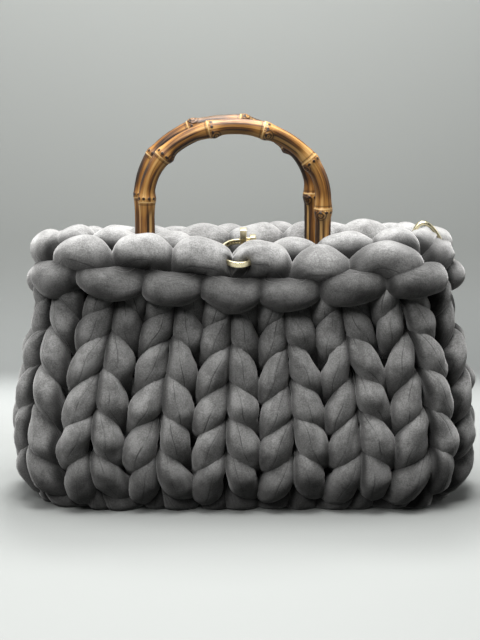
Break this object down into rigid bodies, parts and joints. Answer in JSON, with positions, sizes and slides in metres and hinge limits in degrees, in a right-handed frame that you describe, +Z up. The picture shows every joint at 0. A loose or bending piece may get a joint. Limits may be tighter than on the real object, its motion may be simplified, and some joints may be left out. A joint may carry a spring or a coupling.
{
  "type": "knitted velvet handbag",
  "caption": "Chunky knitted grey velvet handbag with bamboo arch handles, a plaited rim and gold rings, hollow and open at the top.",
  "frame": {"origin": "on the floor, under the middle of the bag's flat underside", "axes": "+Z up, +X to the right along the bag's width, front towards -Y"},
  "size_m": [0.3622, 0.144, 0.3003],
  "materials": {
    "velvet": "brushed pile",
    "bamboo": "lacquered",
    "gold": "polished"
  },
  "bodies": {
    "root": {"knit_body": "velvet", "rim_braid": "velvet", "handle_front": "bamboo", "handle_back": "bamboo", "closure_ring": "gold", "clasp": "gold", "strap_ring": "gold"}
  },
  "joints": []
}
